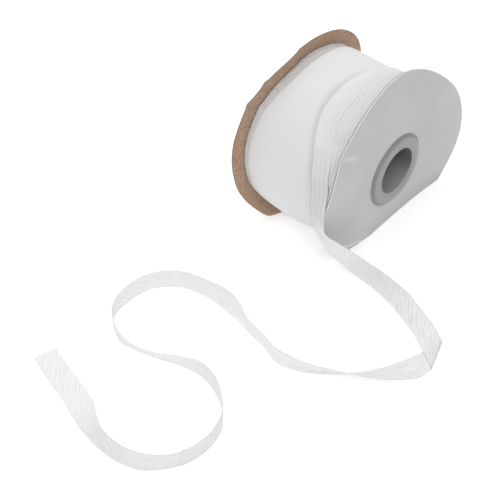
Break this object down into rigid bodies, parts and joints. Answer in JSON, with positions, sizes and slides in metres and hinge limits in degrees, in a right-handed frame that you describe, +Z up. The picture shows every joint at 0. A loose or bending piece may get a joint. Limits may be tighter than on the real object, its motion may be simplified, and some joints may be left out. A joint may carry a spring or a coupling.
{
  "type": "roll of fusible interfacing tape",
  "caption": "Spool of white fusible interfacing tape between die-cut card flanges, its loose end run out in a folded, curving line.",
  "frame": {"origin": "on the surface that the spool stands on, under the middle of the spool, on the wound tape's flattened underside", "axes": "+X along the spool's axis towards the flange that the loose end passes, +Y away from the loose end, +Z up"},
  "size_m": [0.1578, 0.2795, 0.0931],
  "materials": {
    "tape": "matte white, sheer non-woven tape with fine slanting threads",
    "card": "die-cut card, smooth light grey liner outside and brown kraft inside",
    "hub": "satin light grey"
  },
  "bodies": {
    "root": {"core": "hub", "flange_front": "card", "flange_back": "card", "wound_tape": "tape", "tape_end": "tape"}
  },
  "joints": []
}
